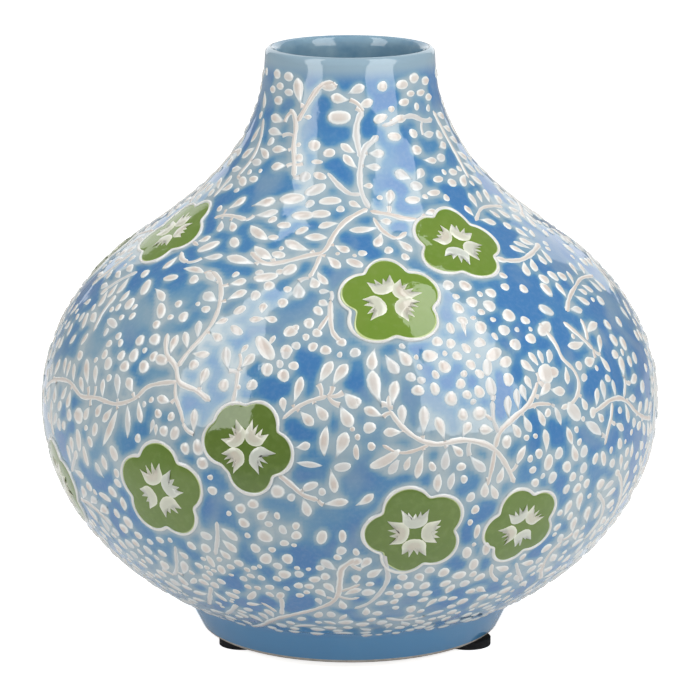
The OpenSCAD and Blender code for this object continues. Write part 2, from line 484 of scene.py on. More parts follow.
def crown(relief, seed, az, s, size, direction):
    """One of four crowns of slip round the small green middle: a half round with spikes that point out."""
    g = random.Random(seed)
    direction += g.uniform(-6, 6)
    spikes = g.choice((4, 4, 5))
    half = g.uniform(2.9, 3.4) * size
    deep = g.uniform(2.1, 2.5) * size
    back = np.linspace(-90, 90, 9) * DEG
    u, v = [-deep * math.cos(b) for b in back], [half * math.sin(b) for b in back]
    for k in range(spikes):
        across = half * (1 - 2 * (k + 0.5) / spikes)
        u.append(g.uniform(2.2, 3.9) * size)
        v.append(across * 1.35 + g.uniform(-0.35, 0.35))
        if k < spikes - 1:
            u.append(g.uniform(0.4, 1.2) * size)
            v.append(half * (1 - 2 * (k + 1) / spikes))
    u, v = np.array(u), np.array(v)
    off = g.uniform(3.6, 3.9) * size
    r = WALL.at(s)[0]
    points, core = [], []
    for share, h, ridge in CROWN_LOOPS:
        x, y = turned(off + (u - 0.3) * share + 0.3, v * share, direction)
        points.append(WALL.place(az + x / (r * DEG), s + y, np.full(len(u), h)))
        core.append(np.full(len(u), float(ridge)))
    x, y = turned(off + 0.3, 0, direction)
    points.append(WALL.place(np.array([az + x / (r * DEG)]), np.array([s + y]), np.array([CROWN_TOP])))
    core.append(np.array([1.0]))
    faces = cap_faces(len(u), len(CROWN_LOOPS), flip=True)
    relief.add(np.concatenate(points), faces, np.concatenate(core), g.random())


fences = Relief("slip_fences")
stars = Relief("slip_stars")
fields = []
for index, (az, z, size, turn, green, crowns, miss) in enumerate(FLOWERS):
    s = s_of(z)
    fence(fences, index, az, s, size, turn, green)
    fields.append(green_field(index, az, s, size, turn, green, miss))
    for c, direction in enumerate(crowns):
        crown(stars, 100 * index + c, az, s, size, direction)

# ---------------------------------------------------------------- vines, leaves and dots of the front

# Each stem is its width and the (azimuth, height) points it runs through.
STEMS = [
    (1.1, [(7, 128), (3, 127), (-2, 125), (-5, 122.5), (-8, 118.5), (-13, 117.5), (-19, 116), (-24, 115.5),
          (-30, 117.5)]),
    (0.9, [(-8.5, 118), (-9.5, 115), (-10.5, 113)]),
    (1.1, [(7.5, 128), (5, 131.5), (4.5, 135), (5.5, 139), (8, 142.5), (12, 144), (16, 145.5)]),
    (1.1, [(5.5, 140), (4, 144), (3.5, 147), (5, 150), (8, 152)]),
    (1.0, [(5, 131.3), (0, 131.5), (-4, 133), (-8, 135), (-11, 136.5)]),
    (1.0, [(7.5, 127.5), (11, 127), (15, 126.5), (20, 125.5), (25, 125)]),
    (0.9, [(8.5, 126), (11, 123), (15, 121.3), (19, 122.5)]),
    (1.0, [(-26, 84), (-29, 86), (-33, 87.3), (-35, 91), (-38, 93.5), (-40, 98)]),
    (1.0, [(-34.5, 91), (-33, 95), (-31, 99), (-30, 103), (-31, 107.5), (-34, 111), (-38, 112.5)]),
    (0.9, [(-33.5, 87.5), (-37, 86.5), (-40, 85), (-42.5, 81.5), (-47, 79), (-53, 79), (-58, 78),
          (-64, 80), (-72, 78), (-78, 74)]),
    (0.8, [(-34, 87.5), (-33.3, 84), (-31.5, 80), (-30.8, 77.5)]),
    (0.8, [(-21.5, 83), (-21.3, 88), (-21.5, 92)]),
    (0.9, [(-12, 81), (-10, 83.5), (-7.5, 85.5), (-4, 87)]),
    (1.0, [(7, 83.5), (9, 79.5), (12, 76), (15, 74.5), (20, 75), (24, 73.5), (26, 71.5), (28, 67.5),
          (30, 62)]),
    (0.9, [(7, 87), (7, 83.5)]),
    (0.8, [(14, 74.5), (10, 72.8), (8, 73), (5.5, 75)]),
    (0.9, [(26, 72), (25.5, 68), (24.5, 62)]),
    (1.0, [(26, 72), (27.2, 76), (30, 78.8), (34, 82), (37, 87)]),
    (0.8, [(27, 75.5), (26.2, 79), (26.5, 84)]),
    (0.7, [(26.2, 79), (24.5, 81)]),
    (0.8, [(33, 81), (36, 81.5), (39, 80.8)]),
    (1.0, [(43, 100), (44.5, 95), (44.8, 91), (46.5, 88), (47, 85), (46, 82), (44, 80), (41, 79.3)]),
    (1.0, [(50, 99), (53, 94), (54.7, 91)]),
    (0.9, [(56, 98.5), (55, 95), (54, 93.5)]),
    (0.9, [(49.5, 76.3), (52, 77), (55, 77.8), (58.5, 77.3), (61, 75.5), (64, 72), (68, 69), (73, 67)]),
    (0.9, [(55.5, 77), (54.5, 73.5), (53, 70), (52, 66.5)]),
    (0.8, [(60, 77), (61.5, 80), (62, 82)]),
    (0.9, [(53, 101), (57, 103.5), (62, 105), (68, 106), (76, 105)]),
    (0.9, [(48, 123), (55, 125), (62, 125), (70, 124)]),
    (1.0, [(-54, 123), (-50, 124), (-45, 124.3), (-39, 124)]),
    (0.9, [(-53.5, 117.5), (-50, 117)]),
    (0.9, [(-54, 115), (-51, 113.7), (-48, 113.4)]),
    (1.1, [(-34, 12), (-27, 14.5), (-20, 19), (-14, 22), (-8, 25), (-4, 28), (-2.5, 31), (-2, 36),
          (-1.5, 40), (1, 43)]),
    (0.9, [(-17, 21.5), (-15.5, 26), (-15, 29)]),
    (0.8, [(-18, 22.5), (-19, 24.5), (-20.5, 26)]),
    (0.8, [(-2.8, 30.5), (0, 29.3), (2, 29.8)]),
    (0.8, [(-2.2, 32), (0, 33.2), (2, 34.5)]),
    (0.9, [(-4.5, 108.5), (-4.2, 104.5), (-3.5, 101.5), (-1.8, 99.5)]),
    (0.8, [(-4.5, 105.5), (-6, 103), (-6.7, 101.8)]),
    (0.9, [(-12.5, 67), (-10, 64), (-8, 61.5), (-5.5, 60.3)]),
    (0.9, [(-24.5, 52), (-25, 47), (-26.5, 41.5)]),
    (0.8, [(-35.5, 42), (-37, 37), (-39, 33), (-41, 31)]),
    (0.9, [(-31.5, 29.5), (-34.5, 25), (-38, 21)]),
    (0.9, [(-28, 23.5), (-32, 20), (-36, 17.5)]),
    (0.9, [(6.5, 44.5), (7, 40), (7.5, 36.5), (6.5, 32), (4, 27.5), (1, 25.5)]),
    (0.9, [(9, 21), (13, 19.7), (18, 20)]),
    (1.1, [(-26.5, 135), (-29, 139), (-32, 143), (-33, 147), (-35.5, 150), (-40, 151.5)]),
    (1.1, [(-33, 148.5), (-29, 152), (-24, 156), (-18, 158.8), (-11, 159.5)]),
    (0.9, [(35, 37), (37.5, 33), (41, 29)]),
    (0.9, [(29, 38), (30, 34.5), (33, 31)]),
    (1.0, [(19, 148), (24, 148.3), (31, 149.3), (40, 149.8), (50, 148), (58, 148)]),
    (0.9, [(-63, 148), (-58, 143), (-57, 138), (-60, 133)]),
    (0.9, [(62, 150), (66, 144), (67, 138), (64, 132)]),
    (0.9, [(46, 41), (44, 37), (45, 32), (49, 27)]),
    (0.9, [(52, 53), (56, 48), (57, 43), (55, 38)]),
]
# Azimuth, height, length, width, turn of the fat end, and the kind of leaf if it isn't a drop.
LEAVES = [
    (-11, 121.5, 6, 2, 0, "spindle"), (-16, 119.6, 8, 2.2, 158), (-2.5, 119.4, 4.5, 2.3, -28),
    (-5, 116.4, 5.5, 2.2, -48), (1.2, 116.2, 4.5, 2.2, -28, "blob"), (5, 123.6, 7.5, 1.8, 186),
    (-9, 112.2, 4, 2.2, -65), (-12.2, 110.6, 5.5, 2.4, -75), (-16.5, 114.6, 4, 2.6, 55, "blob"),
    (-20, 103.8, 4.5, 1.9, 190), (-17.5, 104, 4, 1.8, -12), (-19.5, 106, 3.6, 2, 95),
    (-25, 105.3, 3.3, 2.2, 45, "blob"), (-24, 101, 4, 2.1, -28, "blob"), (-22, 112.8, 6, 2.4, 15, "blob"),
    (-27.2, 108.2, 5.5, 2.2, 38), (-28.8, 111, 4.5, 2, 25), (-33.5, 107.3, 5.5, 2.6, 160),
    (-28.3, 102.3, 4, 1.8, 28), (-28.2, 99, 4.2, 2, -25), (-36.8, 111.3, 5.5, 2, 150),
    (-26, 117.6, 7.5, 2.4, 150, "spindle"), (-31, 121.7, 8, 2.4, 152, "spindle"),
    (-31.5, 115.5, 9, 2.4, 172), (-35.5, 128, 6.5, 2.2, 20), (-32.5, 126, 6.5, 2, 20),
    (-48.7, 127, 6, 2.2, 55), (-48, 121.8, 4.5, 1.9, -58), (-43, 122.2, 4.5, 1.9, -40),
    (-45.5, 117.2, 6, 2.4, 40, "blob"), (-41.3, 115.3, 6, 1.9, 18),
    (-43.5, 111.9, 7.5, 1.8, 178, "spindle"), (-49, 109.6, 4.5, 1.8, 18, "blob"),
    (-48.5, 105.7, 6.5, 1.9, -25), (-45, 102.5, 5, 2.2, -50, "blob"), (-54.5, 106.5, 5, 2.4, -60, "blob"),
    (-37.4, 119, 4, 2.2, -40, "blob"), (-24, 129.8, 6.5, 2.6, 8, "blob"),
    (-15, 132.3, 5.5, 2.8, 30, "blob"), (-8, 129.6, 5.5, 2, 5, "blob"), (-17.5, 126.3, 5.5, 2.2, 5, "blob"),
    (-11, 126.6, 5, 2, 5, "blob"), (-23.5, 123.7, 3.2, 1.7, 5, "blob"), (-25.2, 121, 2.8, 1.5, 0, "blob"),
    (-21, 117.6, 3.6, 2, -10, "blob"), (-6, 110.3, 3, 1.3, 180), (-5.8, 107.9, 3, 1.6, 150),
    (-17, 97.5, 7.5, 3, -48, "blob"), (-16, 99, 3.5, 1.3, 70), (-21.3, 96.8, 3, 1.3, 60),
    (-24.2, 94.3, 6.5, 2.2, 112), (-20, 94.2, 4.8, 2.1, 55), (-9.7, 88, 7, 2, 78), (-28.3, 89.3, 5, 2, 80),
    (-7.8, 81.5, 4.8, 2.3, -45), (-5.2, 83.2, 5, 2.3, -52), (-0.8, 82.2, 6, 2.6, -62), (0, 86, 5, 2.6, -48),
    (-4.6, 92.4, 6.5, 2.4, 62), (-1.8, 91.8, 6.5, 2.4, 58), (-4.2, 76, 7, 2.1, 86, "spindle"),
    (-1.6, 75, 6.5, 2.8, 68), (1.2, 73.2, 3.6, 1.4, 95, "blob"), (-8.2, 74.6, 3.6, 1.8, 15),
    (-7, 69.9, 6, 1.2, -5, "spindle"), (-1.3, 69.5, 4, 2, 10, "blob"), (-3, 65.6, 6, 1.9, -80),
    (-6.8, 63.8, 4, 1.6, 25, "blob"), (-2.5, 59.5, 6, 1.8, 8), (2.5, 60.5, 5, 1.7, 35),
    (5, 89, 8.5, 2.5, 102), (8.2, 87.3, 6.5, 2, 78), (4.2, 83, 5, 1.9, 155), (9.4, 81.8, 5.5, 1.9, 90),
    (7.6, 78, 4.8, 2, 180), (13, 80.5, 7, 2.1, 83), (16, 78.2, 6, 2.1, 105), (6, 71.5, 8, 2.6, 28, "blob"),
    (7.8, 69.8, 5.5, 2.4, -125), (12.2, 69.6, 7, 1.9, -105), (16.7, 70.6, 5.5, 2, -98),
    (15.5, 64.3, 5, 1.8, 88, "spindle"), (17.9, 64.4, 4.5, 1.6, 78, "spindle"), (22.6, 68.6, 6, 2, -45),
    (31.3, 69.2, 5, 1.7, 58, "spindle"), (24.3, 61.5, 4.5, 2, -90), (30.3, 76, 4.5, 1.8, -60),
    (33, 77.3, 4.8, 1.8, -70), (35.9, 78.3, 5.2, 1.7, -68), (40, 77.7, 5, 1.5, -75, "spindle"),
    (4.6, 95.6, 5.8, 2.2, -100), (8, 94.3, 5.5, 2.2, -60), (10.3, 95.7, 5.2, 2.4, -58),
    (26.8, 87.4, 4.5, 2.4, 90, "blob"), (27, 92, 4.5, 2.6, 70, "blob"), (29, 94.5, 5, 3, 25, "blob"),
    (31, 92.8, 3.6, 2.6, 20, "blob"), (36, 90.8, 5, 2, 132), (37.6, 91.8, 5, 1.8, 110),
    (39.3, 91.8, 5, 1.8, 85), (41.2, 91.8, 5, 2, 55), (39.2, 88.5, 5, 4.2, 60, "blob"),
    (41, 88.5, 4, 2.8, 0, "blob"), (38, 84.8, 5.5, 2.3, 35), (41, 84, 5, 2.3, -15),
    (36.5, 71.6, 6, 1.8, 90), (37, 66, 4, 2.4, 80, "blob"), (44, 77.8, 5.8, 3.2, -50, "blob"),
    (42.4, 71.8, 5, 1.7, -72, "spindle"), (43.6, 67.4, 5.5, 2, -70), (47.1, 79.2, 3.8, 1.9, -70),
    (57.6, 95.6, 7.5, 1.8, 12), (57.6, 91.6, 5.8, 1.6, 50), (50.5, 93.6, 7, 2, 180),
    (52.3, 88.9, 5, 2.4, 185), (56.5, 87.2, 5.5, 1.8, -65), (53.4, 80.6, 5.6, 2, 80),
    (57, 80.2, 4.6, 1.4, 82), (57, 70, 5, 1.8, -30), (48.8, 71.9, 7.5, 2.2, 145, "spindle"),
    (51.7, 62.9, 4.4, 1.9, -65, "blob"), (62.5, 84.4, 5.5, 2.5, 70), (65.5, 80.3, 5.5, 2, 8),
    (63, 75.8, 5, 1.8, -10), (66, 72, 5, 1.8, 30), (68, 66, 5, 1.8, -60), (24.4, 101.5, 5, 1.2, 85),
    (21.5, 101.6, 3, 1.7, 90, "blob"), (47, 102.4, 4.4, 2, 140, "blob"), (43.6, 98.6, 5.5, 2.4, 25, "blob"),
    (16.5, 130.2, 5, 1.9, 72), (25.5, 135.3, 4.6, 2.4, 150), (34, 135.2, 4, 2, 45),
    (30, 132.6, 3.4, 2.4, 0, "blob"), (26, 129.7, 4, 1.8, 0, "blob"), (37, 130.6, 4, 1.8, 3, "blob"),
    (43, 133.4, 3.4, 1.7, 5, "blob"), (50, 132, 3, 2, 0, "blob"), (55, 134.2, 3.2, 1.6, 0, "blob"),
    (37.5, 141.2, 2.8, 2.2, 0, "blob"), (43.5, 138.3, 4.4, 1.6, -8), (52, 138.2, 3.4, 1.7, 10, "blob"),
    (31, 126.2, 4, 1.6, 10), (24, 119.5, 4, 1.8, 80), (4, 157.4, 4.6, 2.1, 25), (9, 153.7, 4.6, 1.9, 22),
    (-6, 155.4, 4.8, 2.1, 170), (-6.5, 150.6, 5.6, 2.8, 182, "blob"), (-14, 158.6, 4, 1.9, 175, "blob"),
    (18.8, 149.8, 3.8, 2, 20, "blob"), (13.5, 141.3, 4.2, 1.9, 0), (10.8, 137.9, 4.2, 1.7, -8),
    (7.6, 133.2, 2.8, 1.5, 0), (25.6, 145, 3.6, 1.9, -8, "blob"), (36, 158.2, 3.6, 2, 0, "blob"),
    (36, 153.8, 3.2, 1.7, 5, "blob"), (47, 159.4, 3.4, 1.9, 5, "blob"), (42.5, 155.6, 2.6, 1.3, 0, "blob"),
    (52, 155.6, 3.2, 1.4, 0, "blob"), (50, 144.6, 4.2, 1.6, 0, "spindle"), (31, 149.6, 5, 2, 5, "spindle"),
    (59, 158.4, 3.4, 1.8, 0, "blob"), (60, 153.6, 3, 1.5, 0, "blob"), (58, 141, 3.6, 1.6, 10),
    (-34.3, 156.4, 7, 2.7, 105), (-48.5, 148.6, 5.6, 1.9, 172), (-47, 144.9, 5.6, 1.8, 174),
    (-39.5, 141, 5.2, 1.8, 184), (-36.5, 137, 4.6, 1.8, 190), (-52, 137.3, 3.4, 1.7, 0, "blob"),
    (-48, 133.2, 3, 1.6, 0, "blob"), (-54, 132, 4, 2, -25, "blob"), (-11, 141.3, 3, 2.2, 10, "blob"),
    (-16.5, 138.9, 3, 1.4, 0, "blob"), (-26.3, 139.2, 3.2, 2, 140), (-14, 135.6, 3.6, 2.3, -20, "blob"),
    (-21, 135, 3, 2.6, 0, "blob"), (-51.7, 153.4, 3.2, 1.8, 0, "blob"), (-52, 157, 2.8, 1.5, 0, "blob"),
    (-56.5, 160.3, 3, 1.9, 0, "blob"), (-44.5, 159.9, 3.2, 1.9, 0, "blob"), (-43, 155.9, 3, 1.4, 0, "blob"),
    (-27, 150, 2.6, 1.1, 5), (-60, 156, 2.6, 1.5, 0, "blob"), (-58.2, 84, 8, 2.4, 128),
    (-55, 84.2, 5.6, 1.8, 118), (-51.6, 81.7, 5, 1.7, 112), (-48, 83.2, 6.5, 2, 116),
    (-44.5, 84.3, 4.6, 2.2, 135), (-57.5, 97, 5.5, 1.8, 170, "blob"), (-40.8, 78.8, 6, 1.7, -70),
    (-43.6, 75.4, 8, 1.7, -80, "spindle"), (-48, 72.6, 11, 2, -115, "spindle"), (-51.4, 76.3, 4.5, 2, -120),
    (-52.3, 70.8, 3.6, 2, -110, "blob"), (-55.2, 74.4, 4.5, 2, -120), (-35.6, 82.5, 4.6, 1.9, 172),
    (-28.6, 78.4, 6, 1.7, 95), (-32.4, 74.8, 3.4, 2, 70, "blob"), (-37.6, 75.4, 3.6, 1.1, 80),
    (-36.4, 74.6, 3, 1, 95), (-58, 66, 5.5, 2.4, -80, "blob"), (-55.5, 62.4, 5, 2, -75, "blob"),
    (-46.5, 66, 4, 2.4, -60, "blob"), (-38.7, 92.2, 4.2, 2.2, 172, "blob"),
    (-58, 72.4, 4.5, 3.2, 0, "blob"), (-63, 76, 5, 2, -100), (-66, 82.5, 5, 2, 100), (-70, 75, 5, 2, -80),
    (-72.5, 81, 5, 2, 80), (-5, 49.6, 4, 2.1, 75, "blob"), (-1.5, 50, 3.6, 1.5, 90, "blob"),
    (-4.2, 33, 5, 1.8, 120), (-6, 31.2, 4.2, 1.9, 125), (-15, 29.6, 3.4, 1.9, 65, "blob"),
    (-22, 28.6, 5.5, 1.9, 55, "blob"), (-7.6, 22.8, 4, 2.3, 70, "blob"), (-4.6, 23, 3.6, 2.3, 95, "blob"),
    (-12.4, 20.4, 3, 1.8, 60, "blob"), (-12.5, 16.8, 7, 1.4, 20, "spindle"), (0.6, 42, 4.5, 2, 30),
    (3, 41.4, 4.5, 2, 60), (-36.3, 34.8, 7, 2, 62), (-42.2, 33.8, 5.5, 2.4, 55),
    (-35.8, 30.6, 4.2, 1.3, 45, "blob"), (-28.2, 39, 4, 1.6, 100, "blob"),
    (-26.2, 36.7, 3.4, 2, 80, "blob"), (14.3, 24.3, 3.8, 1.9, 100, "blob"), (18.5, 26, 4.8, 1.5, 66),
    (21, 21.6, 5, 1.7, 25), (23.5, 49.3, 4, 1.5, 90, "blob"), (22.3, 43, 3.8, 2.3, 105, "blob"),
    (26.5, 43.5, 4.2, 1.9, 100, "blob"), (24.6, 38.8, 4, 2.2, 100, "blob"), (17, 41.3, 4, 1.6, 20),
    (14, 36, 4, 2, 120), (30, 29, 5, 1.8, 140), (45, 41, 5, 1.9, 120), (47.5, 45, 6, 2, 110),
    (50, 41, 5, 1.9, 120), (43.5, 51, 5, 1.9, 75), (47, 52, 6, 2, 105), (51, 47, 6, 2, 115),
    (38.5, 30.5, 5, 1.7, 130), (43, 27, 5, 1.7, 140),
]
# Azimuth, height, diameter.
DOTS = [
    (-28.5, 124.8, 1.8), (-22.4, 123.9, 1.8), (-41.2, 104.8, 1.9), (-38, 102.3, 2.4), (-41.3, 101.7, 1.5),
    (-44, 99.5, 2), (-46.3, 95.2, 2.3), (-42.5, 96.2, 2.5), (-43.9, 93.3, 1.2), (-51.5, 93.5, 1.6),
    (-54.8, 92.5, 1.8), (-46.2, 91.5, 2.6), (-42.5, 89.5, 2.8), (-52.5, 88, 2.5), (-49.6, 90.7, 2.2),
    (-54.6, 89.8, 2.3), (-30, 71.2, 2.2), (-26.6, 68, 2.2), (-25, 64.4, 1.2), (-53.7, 67, 2.2),
    (-55.2, 70.3, 1.4), (-41, 92.3, 2.2), (-36, 105.5, 1.3), (-15.5, 107.6, 2.3), (-20.2, 111, 2.3),
    (-22.6, 108.7, 2.4), (-15.2, 110.5, 1.8), (-24.2, 113.5, 1.7), (-18.7, 114, 1.8), (-12.4, 101.5, 2.6),
    (-11.5, 102.3, 1.6), (-9, 100.4, 1.5), (-12.6, 97.3, 2.5), (-10.8, 98.4, 1.8), (-7.4, 98.3, 2),
    (-4.8, 97.6, 2.3), (-2, 96.6, 1.3), (1, 97.1, 2.1), (-1.7, 99.4, 2.1), (-6.8, 101.4, 2.1),
    (-15.8, 92.7, 2.6), (-12.5, 91.5, 2.6), (-13.5, 94.1, 1.8), (-10.8, 93.8, 2), (-12.6, 96.6, 2.4),
    (-23.8, 88.1, 2.4), (-18.3, 88.8, 2.1), (-21, 88, 1.2), (-3.6, 118.2, 1.3), (3.6, 118.3, 1.8),
    (1.3, 117.8, 1.3), (-26.4, 67.9, 2.3), (-24, 68.1, 2.5), (-21.6, 64.8, 2.7), (-24.7, 60.8, 1.9),
    (-21.5, 59.6, 1.9), (-12.6, 62.2, 2.6), (-10.2, 60.8, 1.7), (-27.4, 71.9, 2.8), (3.7, 74.6, 1.9),
    (3.4, 79.3, 2.3), (1.3, 77, 1.3), (0.4, 79, 1.2), (1, 85.6, 2.2), (-4.8, 62.6, 1.7), (13.3, 93.4, 1.2),
    (15.7, 95.8, 2.8), (18.8, 96.1, 1.2), (21.2, 95.3, 2.2), (23.5, 96.8, 2.3), (26.6, 97.7, 2.5),
    (25.5, 94.8, 1.5), (34.7, 96.2, 2.8), (38.9, 97, 2.4), (11.4, 91.2, 1.9), (13.3, 90.3, 1.6),
    (12.5, 88, 2.2), (15.7, 88.1, 2.2), (16.2, 91.4, 1.7), (18.2, 93.1, 2.6), (18.5, 85.5, 2.8),
    (20.8, 88.8, 2), (20.4, 81.3, 2.3), (23.6, 81.2, 2.6), (23.6, 93, 2.4), (24.2, 86.5, 2.5),
    (25, 90.7, 2.2), (30.7, 88.6, 2.5), (23.3, 97.2, 1.6), (33.8, 64.7, 1.7), (36.1, 62.5, 1.2),
    (38.4, 61.5, 2.2), (39.6, 67.8, 2.3), (21.5, 59.5, 2), (34.5, 61, 1.8), (46.2, 75.3, 1.3),
    (44.2, 73, 1.5), (46, 66.6, 2.4), (41.7, 63.6, 2.4), (46.2, 62, 2.3), (43.5, 60.3, 2),
    (48.4, 88.4, 2.4), (48.8, 85.4, 2.1), (63.7, 91.2, 2.5), (67, 89.4, 2.7), (61.6, 88, 2.2),
    (64.8, 87.7, 1.5), (66.5, 84.8, 2.4), (69.6, 84.8, 2.4), (64.5, 95, 2.3), (70.5, 94.2, 2.3),
    (69.5, 77, 2.6), (54.2, 64.5, 1.6), (49.1, 76.2, 2.3), (11.6, 118.8, 1.9), (16, 117.2, 2),
    (20, 117.7, 2), (21.6, 115.2, 2), (26, 115.8, 2.2), (29, 110.3, 2.6), (31.7, 108.2, 1.4),
    (34.7, 108.1, 2.5), (28.7, 106.8, 2.6), (24.7, 105.8, 2.5), (32.5, 105.5, 2.9), (36.1, 102.8, 3.1),
    (39.7, 101.2, 1.9), (33.3, 99.8, 2.7), (36.5, 99.5, 1.3), (27, 97.8, 2.4), (24.6, 103, 2.3),
    (20.5, 98.2, 2.1), (17.8, 98.9, 2.2), (34.4, 96.4, 2.4), (44.7, 107.8, 2.1), (39.7, 108.9, 2),
    (41.5, 111.2, 1.8), (24.6, 110.8, 2.4), (12.3, 130.5, 1.4), (32, 129.9, 1.6), (49, 134.8, 1.4),
    (46, 152, 1.5), (-19.5, 142.9, 2.6), (-29, 142.8, 1.3), (-16, 129, 2), (-14.5, 132.4, 1.8),
    (57, 151, 1.6), (-15.5, 49, 2.9), (-12, 47.4, 1.8), (-17.7, 45.1, 2.2), (-14.5, 45.1, 1.5),
    (-11.8, 42.5, 2.5), (-5.7, 40, 1.7), (-10, 37.6, 1.8), (-7, 36, 2), (-10.5, 33.6, 1.9),
    (-14.7, 35.6, 1.8), (-18, 35.4, 1.8), (-16.8, 32.4, 2), (-13.2, 32.3, 1.5), (-10.7, 30.1, 1.8),
    (-20.5, 37.8, 1.5), (-17.7, 39.3, 1.2), (-22, 34.5, 2), (-21.7, 31.8, 2), (-24, 38.1, 1.7),
    (-25.3, 29.3, 2), (-19.2, 52.5, 2.4), (-39, 43, 1.9), (-42.2, 41.5, 1.7), (-40.2, 38.4, 2),
    (-44.3, 38.2, 2.3), (-47.3, 39.5, 2.1), (-46.3, 34.2, 2.3), (-51, 34.6, 2.3), (-54.2, 32.8, 2.1),
    (-50.5, 31.5, 2.3), (-50.8, 28.1, 2), (-31.5, 36.8, 1.7), (-29.6, 34.8, 1.8), (-31.2, 33, 2),
    (-27.8, 32.3, 2.1), (-28.2, 43.2, 2.4), (-27.3, 47.2, 2.4), (-31.4, 43.2, 2.1), (-46.5, 46.1, 2.6),
    (-49, 43.4, 2.4), (-53, 41, 2.2), (-45, 42.6, 2), (26, 47.8, 2.6), (23.5, 45.4, 1.3), (18.7, 37.2, 2.4),
    (22.4, 35.6, 2.7), (25.5, 35.4, 1.8), (27.5, 33.9, 2.5), (24.5, 32.3, 2.3), (21, 27.3, 2.1),
    (10.5, 25.2, 1.6), (6.5, 23.2, 2), (12, 33.5, 2.2), (15.5, 33, 2.2), (10.4, 36.6, 2.2),
    (13.5, 30.4, 2.2), (16.6, 30, 2), (10.2, 30, 2), (12.7, 38.5, 2.1), (15.6, 38.4, 2), (9.8, 33.2, 1.8),
    (43.5, 33.7, 1.8), (44.7, 31.8, 2), (-1.6, 45.6, 2), (-2.3, 43.5, 1.6), (27.2, 29, 2.2),
]
# Azimuth, height and radius of the deeper blue pools that stay free of dots.
POOLS = [
    (2, 90, 3.5), (-8.5, 77.5, 2.8), (-7.5, 67, 3.6), (1.5, 65.5, 4.2), (31, 85, 4.5), (43, 86, 3.2),
    (-37, 98.5, 3.2), (-14, 87.5, 3), (4.5, 120, 4.4), (-1, 113.5, 2.2), (-38, 131, 4.5), (-1, 105, 2.5),
    (-13, 106.5, 3.5), (-17, 101, 3), (-9.5, 43, 3.4), (-19.5, 24.5, 3.6), (-12, 26.5, 4), (1.5, 37, 3.2),
    (-33.5, 40.5, 3), (-24, 25, 3.4), (21, 40, 3.2), (11, 22, 3.6), (21.5, 24.5, 2.6), (50.5, 83, 4),
    (58.5, 84.5, 3), (54.5, 67, 3.2), (-50, 96, 3.6), (-59, 92, 3.2), (43, 104, 4.6), (-4, 138, 5),
    (9, 148, 2.2), (-48, 129.5, 3), (28, 140.5, 3.4), (47, 131, 3), (46, 154, 2.4), (29, 80, 2.4),
    (12.5, 65.5, 3), (11, 69, 1.8), (-7, 95.5, 2), (7, 116.5, 3), (-45, 70.5, 2.2), (38, 75, 3),
    (-32, 71, 1.8), (-48, 113, 2.8), (-27, 93, 1.8), (40, 72, 2.2), (20, 104, 2.6), (-28, 158, 3),
    (50, 73.5, 2.4),
]

# Azimuth, height, reach and strength of the broad patches where the coat ran pale (above 0) or deep
# (below 0).
GROUND = [
    (-38, 88, 9, 0.6), (-50, 78, 10, 0.9), (-62, 88, 10, 0.9), (-44, 102, 8, 0.7), (-70, 78, 9, 0.8),
    (-56, 62, 8, 0.5), (-26, 82, 7, 0.4), (-5, 54, 7, 0.9), (-14, 52, 7, 0.8), (-26, 45, 7, 0.7),
    (-20, 66, 6, 0.5), (-2, 68, 6, 0.4), (-38, 112, 7, 0.5), (-30, 100, 6, 0.3), (26, 90, 8, -0.5),
    (33, 82, 8, -0.7), (42, 92, 9, -0.8), (54, 88, 9, -0.6), (44, 76, 8, -0.6), (34, 100, 7, -0.5),
    (52, 114, 9, -0.9), (62, 106, 9, -0.8), (48, 124, 7, -0.6), (66, 92, 8, -0.5), (60, 72, 8, -0.4),
    (68, 60, 9, -0.5), (24, 134, 6, -0.4), (22, 150, 6, -0.5), (-12, 26, 7, -0.4), (-28, 28, 7, -0.3),
    (5, 46, 5, -0.4),
]

stems = Relief("slip_stems")
leaves = Relief("slip_leaves")
dots = Relief("slip_dots")
# how much wider and longer than the rows above the slip spread as it was laid
STEM_SPREAD, LEAF_SPREAD, LEAF_STRETCH = 1.45, 1.28, 1.14
# how far the trail of slip reaches from a leaf to its stem
TRAIL, BLOB_TRAIL = 4.5, 2.0
for width, points in STEMS:
    stem(stems, points, width * STEM_SPREAD)
for az, z, length, width, turn, *other in LEAVES:
    kind = other[0] if other else "drop"
    bend, tone = rng.uniform(-0.07, 0.07), rng.random()
    length, width = length * LEAF_STRETCH, width * LEAF_SPREAD
    if clear(flower_map, az, s_of(z), 0.4):
        leaf(leaves, az, z, length, width, turn, kind, bend, tone)
        tail(leaves, az, z, length, width, turn, bend, tone, BLOB_TRAIL if kind == "blob" else TRAIL)
for az, z, d in DOTS:
    if clear(flower_map, az, s_of(z), 0.5 + d / 2):
        du, dv = d * rng.uniform(1.15, 1.35), d * rng.uniform(1.15, 1.4)
        dome(dots, az, s_of(z), du, dv, rng.uniform(0, 180), 0.2 + 0.1 * d, rng.random())
for az, z, radius in POOLS:
    stamp(pool_map, az, s_of(z), radius)

# ---------------------------------------------------------------- the rest of the pot, in the same hand

S_LOW, S_HIGH = S_FOOT + 0.8, s_of(160.5)
# the front, listed above, reaches to this azimuth on both sides
FRONT = 62
near_front = lambda az: abs((az + 180) % 360 - 180) < FRONT
z_of = lambda s: float(np.interp(s, WALL.s, WALL.z))


def free_line(a, s, gap):
    """Whether a line keeps its gap to slip and flowers, and to the foot and the lip."""
    free = lambda x, y: clear(slip_map, x, y, gap) and clear(flower_map, x, y, gap)
    return all(S_LOW < y < S_HIGH and free(x, y) for x, y in zip(a, s))


